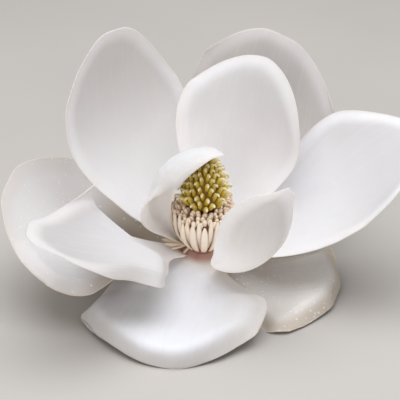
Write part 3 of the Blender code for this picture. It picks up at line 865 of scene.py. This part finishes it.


# %% [markdown]
# The petals of one bloom don't age alike: the outer ones have been open for longest. One row of shares
# says how old each petal looks and how much painted shade it carries, and what a row leaves out is as on a
# fresh petal.

# %% The state of each petal
# age is how beige a petal has turned, the second share how little painted grey shade lies over the whole
# petal, and glow how much light it lets through; the next five are the shares of the dried rim line, of
# the darker lip, partly aged and partly painted shade, of the painted grey shade on the outer end, of the
# dark brown painted shade towards the claw, and of the dew beads, drawn as painted highlights. All run
# from 0 to 1.
FRESH = dict(age=0, white=1, glow=0.5, dry=0.5, lip_age_and_shade=0, end=0, claw_shade=0, dew=0)
TISSUE = {
    # this petal's strong beige is partly real age and partly painted warm shade
    "petal_lower_right": dict(age=0.95, glow=0.4, dry=0.75, lip_age_and_shade=1, claw_shade=0.3, dew=0.9),
    "petal_lower_left": dict(age=0.2, white=0.72, dry=0.8, lip_age_and_shade=0.3, end=0.1, claw_shade=1, dew=0.3),
    "petal_back": dict(age=0.3, white=0.4, glow=0.4, dry=0.35, end=0.9),
    "petal_front": dict(lip_age_and_shade=0.45),
    "petal_right": dict(age=0.05, white=0.9, glow=0.6, end=0.7),
    "petal_back_left": dict(age=0.2, white=0.78, dry=0.4, end=0.6),
    "petal_inner_right": dict(age=0.02, white=0.84, glow=0.7, dry=0.35, end=0.75),
    "petal_inner_left": dict(age=0.05, white=0.68, glow=0.6, dry=0.45, lip_age_and_shade=0.2, end=0.8),
    "petal_inner_back": dict(age=0.15, white=0.8, dry=0.3, end=0.55),
    "petal_hood": dict(glow=0.9, dry=0.7, lip_age_and_shade=0.4),
}

# %% [markdown]
# Each fine petal is the same bent grid with about ten times as many faces. Its rim wavers slightly, as
# a living rim does, and it thins towards the rim: a vertex group tells the Solidify modifier how thick
# each place is. The distance from the rim and a UV map go along with the mesh, for the finish to read.

# %% Build the fine petals
FINE_ACROSS = 34
FINE_ALONG = 46
RIM_THINNING = 0.45
RIM_THIN_BAND = 3.0
WAVER_HEIGHT = 0.55
WAVER_LENGTH = 13.0
WAVER_BAND = 7.0
WAVER_START = 0.3
SEED_STEP = 7.3


def fine_petal(name, shape, seed):
    """The shown petal for one solid."""
    grid, across, along, from_rim = petal_grid(shape, FINE_ACROSS, FINE_ALONG)
    rim_layer = grid.verts.layers.float.new("from_rim")
    uv_layer = grid.loops.layers.uv.new("petal")
    grid.verts.index_update()
    for face in grid.faces:
        for corner in face.loops:
            index = corner.vert.index
            corner[uv_layer].uv = ((across[index] + 1.0) / 2.0, along[index])
    for vert in grid.verts:
        rim = from_rim[vert.index]
        vert[rim_layer] = rim
        near_rim = math.exp(-rim / WAVER_BAND) * ease(along[vert.index] / WAVER_START)
        swing = noise.noise(vert.co / WAVER_LENGTH + Vector((seed * SEED_STEP, 0.0, 0.0)))
        vert.co += vert.normal * (swing * WAVER_HEIGHT * near_rim)

    mesh = mesh_from(grid, name + "_fine", bloom_frame)
    petal = finish_piece(mesh, name, petal_finish(name + " finish", FRESH | TISSUE[name]))
    thin = petal.vertex_groups.new(name="thickness")
    for index, rim in enumerate(from_rim):
        weight = RIM_THINNING + (1.0 - RIM_THINNING) * float(ease(rim / RIM_THIN_BAND))
        thin.add([index], weight, "REPLACE")
    thicken(petal, even=False).vertex_group = "thickness"
    round_off(petal)


for petal_seed, (petal_name, petal_shape) in enumerate(PETALS.items()):
    fine_petal(petal_name, petal_shape, petal_seed)
print("fine petals:", len(PETALS))

# %% [markdown]
# ## Small parts of the cone
#
# Stamens and carpels are repeated dozens of times, so each has to be made of few faces. Two numbers go
# onto their vertices for the finish to read: how far along its part a vertex lies, and the part's lot, its
# own tone. A lot below zero marks the core that the parts are sunk in, which the finishes paint dark as
# the shade between them.

# %% Numbers on the vertices
CORE_LOT = -1.0


def float_layers(build):
    """The layers for how far along its part a vertex lies, and for the part's own lot."""
    layers = build.verts.layers.float
    along = layers.get("along") or layers.new("along")
    lot = layers.get("lot") or layers.new("lot")
    return along, lot


def mark_part(part, lot, low=0.0, high=1.0):
    """Give a part its lot, and spread the way along it from low to high."""
    along_layer, lot_layer = float_layers(part)
    for vert in part.verts:
        vert[along_layer] = low + (high - low) * vert[along_layer]
        vert[lot_layer] = lot


def add_part(whole, part):
    """Copy a finished small part into the whole piece."""
    mesh = mesh_from(part, "part")
    whole.from_mesh(mesh)
    bpy.data.meshes.remove(mesh)


# %% [markdown]
# Two more helpers make round things: one grows a tapering tube along a line, by extruding a ring of
# edges again and again, the other turns a core from its profile.

# %% Tubes and cores
UP = Vector((0.0, 0.0, 1.0))


def grow_tube(line, radii, sides):
    """A closed tapering tube along a line of points, grown ring by ring."""
    tube = bmesh.new()
    along_layer, _ = float_layers(tube)
    line = [Vector(point) for point in line]
    ring = bmesh.ops.create_circle(tube, cap_ends=True, radius=1.0, segments=sides)["verts"]
    edges = tube.edges[:]
    frames = [UP.rotation_difference(line[1] - line[0]).to_matrix()]
    for before, middle, after in zip(line, line[1:], line[2:] + [line[-1] * 2 - line[-2]]):
        bend = (middle - before).rotation_difference(after - middle)
        frames.append(bend.to_matrix() @ frames[-1])
    round_places = [vert.co.copy() for vert in ring]
    for step, (point, radius) in enumerate(zip(line, radii)):
        if step:
            grown = bmesh.ops.extrude_edge_only(tube, edges=edges)["geom"]
            ring = [item for item in grown if isinstance(item, bmesh.types.BMVert)]
            edges = [item for item in grown if isinstance(item, bmesh.types.BMEdge)]
        for vert, place in zip(ring, round_places):
            vert.co = point + frames[step] @ (place * radius)
            vert[along_layer] = step / (len(line) - 1)
    bmesh.ops.edgeloop_fill(tube, edges=edges)
    bmesh.ops.recalc_face_normals(tube, faces=tube.faces[:])
    return tube


def turned_core(profile, steps):
    """A closed solid of revolution about Z, from (radius, height) pairs that start and end on the axis."""
    core = bmesh.new()
    verts = [core.verts.new((radius, 0.0, height)) for radius, height in profile]
    edges = [core.edges.new(pair) for pair in zip(verts, verts[1:])]
    bmesh.ops.spin(
        core, geom=verts + edges, cent=(0.0, 0.0, 0.0), axis=UP,
        angle=math.tau, steps=steps, use_merge=True,
    )
    bmesh.ops.remove_doubles(core, verts=core.verts[:], dist=0.001)
    bmesh.ops.recalc_face_normals(core, faces=core.faces[:])
    mark_part(core, CORE_LOT)
    return core


# %% [markdown]
# ## Stamens
#
# Magnolia stamens are flat straps in many rows round a short column. The outer ones are broad and lean out
# like the staves of a bowl; of the inner ones only the rounded tips are seen, closing over the bowl in a
# dome. Between them lies shade. So the piece is a turned core, painted dark red-brown as that shade, and
# rows of straps whose feet are sunk in it. A strap is a small grid, narrowed, bowed and given a thickness.

# %% Shape one strap
STRAP_ACROSS = 2
STRAP_ALONG = 6
# a strap's width at some shares of its length
STRAP_SHARES = (0.0, 0.15, 0.45, 0.8, 0.93, 1.0)
STRAP_WIDTHS = (0.5, 0.8, 1.0, 0.9, 0.62, 0.25)
STRAP_BELLY = 0.25
# the same for stubs, which are blunter
STUB_WIDTHS = (0.5, 0.8, 1.0, 1.0, 0.9, 0.55)


def make_strap(azimuth, foot, tip, half_width, thickness, bow, lot, widths=STRAP_WIDTHS):
    """A stamen from its foot to its tip, each given as (radius, height), bowed outwards between them."""
    strap = bmesh.new()
    along_layer, _ = float_layers(strap)
    edge_layer = strap.verts.layers.float.new("edge")
    bmesh.ops.create_grid(strap, x_segments=STRAP_ACROSS, y_segments=STRAP_ALONG, size=1.0)
    out = radial(azimuth)
    side = np.array([-out[1], out[0], 0.0])
    for vert in strap.verts:
        across = vert.co.x
        share = (vert.co.y + 1.0) / 2.0
        width = half_width * np.interp(share, STRAP_SHARES, widths)
        lean = share + bow * math.sin(math.pi * share)
        radius = foot[0] + (tip[0] - foot[0]) * lean + STRAP_BELLY * (1.0 - across ** 2)
        place = out * radius + side * (width * across)
        place[2] = foot[1] + (tip[1] - foot[1]) * share
        vert.co = Vector(place)
        vert[along_layer] = share
        vert[edge_layer] = abs(across)
    mark_part(strap, lot)
    strap.normal_update()
    bmesh.ops.solidify(strap, geom=strap.faces[:], thickness=thickness)
    bmesh.ops.recalc_face_normals(strap, faces=strap.faces[:])
    return strap


# %% [markdown]
# Two rows of broad straps stand round the core and five rows of stubs close the dome. Of the stubs
# only the ends show. A few stamens have come loose at the left foot and lie on the petals.

# %% The stamens' measures
STAMEN_CORE = (
    (0.0, 33.2), (9.6, 32.4), (12.2, 31.0), (13.8, 28.5), (14.2, 24.5), (12.8, 18.5),
    (9.6, 13.4), (6.6, 10.9), (0.0, 10.9),
)
# count, foot (radius, height), tip (radius, height), half width, bow, and turn of the row in steps
STRAP_ROWS = (
    (17, (7.9, 9.2), (15.9, 31.8), 2.2, 0.42, 0.0),
    (17, (7.2, 10.6), (15.4, 33.4), 2.1, 0.40, 0.5),
)
# rows of stubs: count, radius and height of the end, turn of the row
STUB_ROWS = (
    (27, 15.2, 31.8, 0.2), (26, 14.2, 33.0, 0.7), (24, 13.0, 33.9, 0.1),
    (22, 11.7, 34.7, 0.6), (20, 10.2, 35.1, 0.3),
)
STUB_LENGTH = 4.5
STUB_SPLAY = 0.8
STUB_HALF_WIDTH = 1.4
STUB_BOW = 0.2
STAMEN_THICKNESS = 0.8
STUB_THICKNESS = 1.5
LOOSE_FOOT = (6.4, 11.4)
LOOSE_HALF_WIDTH = 0.9
LOOSE_THICKNESS = 0.6
# stamens that have come loose at the left foot: azimuth, then radius and height of the tip
LOOSE_STAMENS = (
    (192.0, (19.5, 14.0)), (197.0, (21.0, 15.5)), (202.0, (20.0, 13.5)), (208.0, (20.5, 14.5)),
    (213.0, (18.0, 12.0)), (218.0, (17.5, 1.5)),
)

# %% [markdown]
# Real stamens are never quite alike. Each strap gets its own place, length, width and bow by chance,
# from a fixed seed, so that the piece comes out the same every time.

# %% Build the stamens
STAMEN_SEED = 21


def fine_stamens():
    """All stamens and their core in one build."""
    whole = bmesh.new()
    float_layers(whole)
    whole.verts.layers.float.new("edge")
    add_part(whole, turned_core(STAMEN_CORE, steps=32))
    chance = random.Random(STAMEN_SEED)
    for count, foot, tip, half_width, bow, turn in STRAP_ROWS:
        for index in range(count):
            azimuth = math.tau * (index + turn) / count + chance.uniform(-0.05, 0.05)
            end = (tip[0] + chance.uniform(-0.5, 0.4), tip[1] + chance.uniform(-2.2, 1.2))
            width = half_width * chance.uniform(0.75, 1.1)
            add_part(whole, make_strap(
                azimuth, foot, end, width, STAMEN_THICKNESS,
                bow + chance.uniform(-0.04, 0.04), chance.random()))
    for count, radius, height, turn in STUB_ROWS:
        for index in range(count):
            azimuth = math.tau * (index + turn) / count + chance.uniform(-0.07, 0.07)
            end = (radius + chance.uniform(-0.6, 0.5), height + chance.uniform(-0.9, 1.0))
            foot = (end[0] - STUB_SPLAY, end[1] - STUB_LENGTH)
            width = STUB_HALF_WIDTH * chance.uniform(0.8, 1.15)
            add_part(whole, make_strap(
                azimuth, foot, end, width, STUB_THICKNESS, STUB_BOW, chance.random(), STUB_WIDTHS))
    for azimuth, tip in LOOSE_STAMENS:
        add_part(whole, make_strap(
            math.radians(azimuth), LOOSE_FOOT, tip, LOOSE_HALF_WIDTH, LOOSE_THICKNESS,
            chance.uniform(0.0, 0.3), chance.random()))
    return whole


stamen_mesh = mesh_from(fine_stamens(), "stamens_fine", cone_frame)
print("faces in the stamens:", len(stamen_mesh.polygons))

# %% [markdown]
# The finish reads the numbers on the vertices. The core is painted dark red-brown as the shade between the
# straps, and a strap goes from a red foot over cream to a pinkish tip, each in its own tone, with browner
# edges.

# %% The stamen finish
STAMEN_CORE_SHADE = (0.26, 0.11, 0.05)
STAMEN_FOOT = (0.50, 0.17, 0.11)
STAMEN_EDGE = (0.62, 0.38, 0.24)
STAMEN_CREAM = (0.90, 0.77, 0.56)
STAMEN_WHITE = (0.92, 0.85, 0.73)
STAMEN_TIP = (0.90, 0.76, 0.61)


def core_share(tree, lot):
    """One on the core, zero on the parts round it."""
    return range_of(tree, lot, 0.3 * CORE_LOT, 0.7 * CORE_LOT)


def stamen_finish():
    """Matt cream with a red foot."""
    material, tree, shader = new_material("stamen finish")
    lot = attribute_of(tree, "lot")
    patches, grain = add_mottle(tree, 0.0035, 0.0006)
    colour = add_ramp(tree, attribute_of(tree, "along"), (
        (0.0, STAMEN_FOOT), (0.10, STAMEN_CREAM), (0.45, STAMEN_WHITE), (0.85, STAMEN_WHITE),
        (1.0, STAMEN_TIP)))
    colour = layer_colours(tree, colour, (
        (math_of(tree, "MULTIPLY", lot, 0.45), STAMEN_CREAM),
        (range_of(tree, patches, 0.45, 0.75, 0.0, 0.25), STAMEN_TIP),
        (range_of(tree, attribute_of(tree, "edge"), 0.6, 1.0, 0.0, 0.6), STAMEN_EDGE),
        # the core, painted dark red-brown as the shade between the straps
        (core_share(tree, lot), STAMEN_CORE_SHADE),
    ))
    fill_sockets(tree, shader, {
        "Base Color": colour,
        "Roughness": range_of(tree, patches, 0.3, 0.7, 0.5, 0.68),
        "Specular IOR Level": 0.3,
        "Normal": bump_of(tree, grain, 0.35, 0.0003),
    })
    return material


round_off(finish_piece(stamen_mesh, "stamens", stamen_finish()))

# %% [markdown]
# ## Carpels and styles
#
# Above the stamens stand the carpels, which ripen into the seed cone: small olive bodies in a spiral,
# each with a cream style that curls back like a hook. Turning each by the golden angle is how the plant
# itself packs them. A body is a stretched ball with few faces, its style a tube along a short curl.

# %% Shape one carpel
CARPEL_HALF_WIDTH = 1.5
CARPEL_HALF_LENGTH = 4.2
CARPEL_MIDDLE = 1.5
STYLE_RADIUS = 0.78
STYLE_START = 0.5
STYLE_SIDES = 6
# points of the curl: distance along the carpel's axis, distance outwards, share of the radius
STYLE_CURL = (
    (3.0, 0.1, 1.3), (4.4, 0.4, 1.15), (5.3, 1.1, 1.1), (5.6, 2.0, 1.05), (5.1, 2.8, 0.9), (4.3, 3.0, 0.6),
)


def add_carpel(whole, seat, axis, out, size, lot):
    """A carpel's body, which points along its axis, and the style that curls outwards from its end."""
    body = bmesh.new()
    along_layer, _ = float_layers(body)
    bmesh.ops.create_uvsphere(body, u_segments=7, v_segments=6, radius=1.0)
    tilt = UP.rotation_difference(axis)
    middle = seat + axis * (CARPEL_MIDDLE * size)
    stretch = Vector((CARPEL_HALF_WIDTH, CARPEL_HALF_WIDTH, CARPEL_HALF_LENGTH)) * size
    for vert in body.verts:
        vert[along_layer] = (vert.co.z + 1.0) / 2.0
        vert.co = middle + tilt @ (vert.co * stretch)
    mark_part(body, lot, high=STYLE_START)
    add_part(whole, body)

    line = [seat + axis * (step * size) + out * (outward * size) for step, outward, _ in STYLE_CURL]
    radii = [STYLE_RADIUS * size * thick for _, _, thick in STYLE_CURL]
    style = grow_tube(line, radii, STYLE_SIDES)
    mark_part(style, lot, low=STYLE_START)
    add_part(whole, style)


# %% [markdown]
# The carpels are seated on a turned core from the bottom up. Each is a little smaller and more upright
# than the one before, and chance, from a fixed seed, keeps the spiral from looking drawn.

# %% Build the carpels
CARPEL_CORE = (
    (0.0, 58.0), (3.0, 56.5), (5.4, 52.5), (7.2, 47.0), (8.6, 41.0), (9.2, 36.5), (8.4, 33.4), (0.0, 33.4),
)
GOLDEN_ANGLE = 137.508
CARPEL_SEED = 11
CARPEL_COUNT = 104
CARPEL_LOWEST = 34.5
CARPEL_HIGHEST = 56.0
CARPEL_SHRINK = 0.2
CARPEL_RISE = (58.0, 84.0)


def fine_carpels():
    """All carpels, their styles and their core in one build."""
    whole = bmesh.new()
    float_layers(whole)
    add_part(whole, turned_core(CARPEL_CORE, steps=24))
    chance = random.Random(CARPEL_SEED)
    heights = [height for _, height in reversed(CARPEL_CORE[1:-1])]
    radii = [radius for radius, _ in reversed(CARPEL_CORE[1:-1])]
    for index in range(CARPEL_COUNT):
        share = index / (CARPEL_COUNT - 1)
        height = CARPEL_LOWEST + (CARPEL_HIGHEST - CARPEL_LOWEST) * share
        radius = float(np.interp(height, heights, radii))
        size = (1.0 - CARPEL_SHRINK * share) * chance.uniform(0.92, 1.06)
        azimuth = math.radians(GOLDEN_ANGLE * index) + chance.uniform(-0.08, 0.08)
        out = Vector(radial(azimuth))
        rise = math.radians(np.interp(share, (0.0, 1.0), CARPEL_RISE) + chance.uniform(-6.0, 6.0))
        axis = out * math.cos(rise) + UP * math.sin(rise)
        add_carpel(whole, out * radius + UP * height, axis, out, size, chance.random())
    return whole


carpel_mesh = mesh_from(fine_carpels(), "pistils_fine", cone_frame)
print("faces in the carpels and styles:", len(carpel_mesh.polygons))

# %% [markdown]
# A carpel goes from brown at its foot over olive to yellow, and its style is cream with a pinkish end.
# One ramp along the part does it all, and the core is painted dark as the shade between the carpels, so
# that they stand out.

# %% The carpel finish
CARPEL_CORE_SHADE = (0.28, 0.14, 0.012)
CARPEL_BASE = (0.26, 0.19, 0.02)
CARPEL_OLIVE = (0.53, 0.38, 0.03)
CARPEL_YELLOW = (0.73, 0.54, 0.08)
STYLE_CREAM = (0.84, 0.76, 0.46)
STYLE_PINK = (0.72, 0.50, 0.34)


def carpel_finish():
    """Olive bodies with cream styles."""
    material, tree, shader = new_material("carpel finish")
    lot = attribute_of(tree, "lot")
    patches, grain = add_mottle(tree, 0.003, 0.0005)
    colour = add_ramp(tree, attribute_of(tree, "along"), (
        (0.0, CARPEL_BASE), (0.2, CARPEL_OLIVE), (0.46, CARPEL_YELLOW), (0.66, STYLE_CREAM),
        (0.9, STYLE_CREAM), (1.0, STYLE_PINK)))
    shade = math_of(tree, "MULTIPLY", range_of(tree, lot, 0.0, 1.0, 0.0, 0.4), patches)
    # each carpel in its own tone, and the core painted dark as the shade between the carpels
    colour = layer_colours(tree, colour, ((shade, CARPEL_BASE), (core_share(tree, lot), CARPEL_CORE_SHADE)))
    fill_sockets(tree, shader, {
        "Base Color": colour,
        "Roughness": range_of(tree, patches, 0.3, 0.7, 0.38, 0.55),
        "Normal": bump_of(tree, grain, 0.3, 0.0003),
    })
    return material


round_off(finish_piece(carpel_mesh, "pistils", carpel_finish()))

# %% [markdown]
# ## Receptacle and stem
#
# Under the petals the receptacle narrows into a short stem, felted green-brown and ringed where bud
# scales have fallen. It is one tube, grown ring by ring, then cut level where it stands.

# %% Build the stem
STEM_RADIUS = 5.4
STEM_DROP = 20.0
STEM_SWAY = 7.0
SWAY_POWER = 1.5
STEM_START = -4.5
STEM_RINGS = 30
STEM_SIDES = 28
RECEPTACLE_FOOT = -3.0
RECEPTACLE_RINGS = 12
SCARS = 3
SCAR_START = 0.1
SCAR_SWELL = 0.07
SCAR_SHARPNESS = 4
LUMP_HEIGHT = 0.12
LUMP_SIZE = 2.2


def fine_stem():
    """The receptacle and the stem, already in place and cut level."""
    heights = np.linspace(RECEPTACLE_TOP, RECEPTACLE_FOOT, RECEPTACLE_RINGS)
    line = [(0.0, 0.0, height) for height in heights]
    radii = [float(receptacle_radius(height)) for _, _, height in line]
    for share in np.linspace(0.0, 1.0, STEM_RINGS):
        line.append((STEM_SWAY * share ** SWAY_POWER, 0.0, STEM_START - STEM_DROP * share))
        ring = max(0.0, math.sin(math.tau * (SCARS * share - SCAR_START))) ** SCAR_SHARPNESS
        radii.append(STEM_RADIUS * (1.0 + SCAR_SWELL * ring))
    tube = grow_tube(line, radii, STEM_SIDES)
    height_layer = tube.verts.layers.float.new("height")
    for vert in tube.verts:
        vert[height_layer] = vert.co.z
        out = Vector((vert.co.x, vert.co.y, 0.0)).normalized()
        vert.co += out * (LUMP_HEIGHT * noise.noise(vert.co / LUMP_SIZE))
    tube.transform(bloom_frame @ Matrix.Scale(MM, 4))
    floor_level = Vector((0.0, 0.0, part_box("stem")[0].z))
    cut = bmesh.ops.bisect_plane(
        tube, geom=tube.verts[:] + tube.edges[:] + tube.faces[:],
        plane_co=floor_level, plane_no=UP, clear_inner=True,
    )
    rim = [item for item in cut["geom_cut"] if isinstance(item, bmesh.types.BMEdge)]
    bmesh.ops.edgeloop_fill(tube, edges=rim)
    bmesh.ops.recalc_face_normals(tube, faces=tube.faces[:])
    return tube


stem_mesh = mesh_from(fine_stem(), "stem_fine")
print("faces in the stem:", len(stem_mesh.polygons))

# %% [markdown]
# The felt is green and brown in patches, with pale hairs in its grain. The hairs could be modelled, but
# at this size a rough grain reads the same. The receptacle is cream between the claws, then red.

# %% The stem finish
STEM_GREEN = (0.16, 0.17, 0.055)
STEM_BROWN = (0.21, 0.13, 0.06)
RECEPTACLE_WHITE = (0.84, 0.80, 0.72)
RECEPTACLE_RED = (0.45, 0.14, 0.11)


def stem_finish():
    """Green-brown felt, cream and red towards the top."""
    material, tree, shader = new_material("stem finish")
    height = attribute_of(tree, "height")
    patches, grain = add_mottle(tree, 0.005, 0.0004)
    colour = layer_colours(tree, STEM_GREEN, (
        (range_of(tree, patches, 0.35, 0.65), STEM_BROWN),
        (range_of(tree, grain, 0.55, 0.75, 0.0, 0.4), RECEPTACLE_WHITE),
        (range_of(tree, height, -1.5, 0.5), RECEPTACLE_WHITE),
        (range_of(tree, height, 7.5, 9.5), RECEPTACLE_RED),
    ))
    fill_sockets(tree, shader, {
        "Base Color": colour,
        "Roughness": range_of(tree, patches, 0.3, 0.7, 0.7, 0.9),
        "Normal": bump_of(tree, grain, 0.6, 0.0005),
    })
    return material


finish_piece(stem_mesh, "stem", stem_finish())

# %% [markdown]
# ## The floor's finish
#
# The floor is plain and pale. The mottle group, only much larger, makes it a little uneven, so that it
# doesn't look like an empty background.

# %% The floor finish
FLOOR_DARKER = (0.47, 0.45, 0.42)
FLOOR_LIGHTER = (0.50, 0.48, 0.45)


def floor_finish():
    """Plain, pale and matt."""
    material, tree, shader = new_material("floor finish")
    patches, _ = add_mottle(tree, 0.3, 0.002)
    uneven = ((range_of(tree, patches, 0.3, 0.7), FLOOR_LIGHTER),)
    fill_sockets(tree, shader, {
        "Base Color": layer_colours(tree, FLOOR_DARKER, uneven),
        "Roughness": range_of(tree, patches, 0.3, 0.7, 0.75, 0.85),
    })
    return material


floor.data.materials.append(floor_finish())
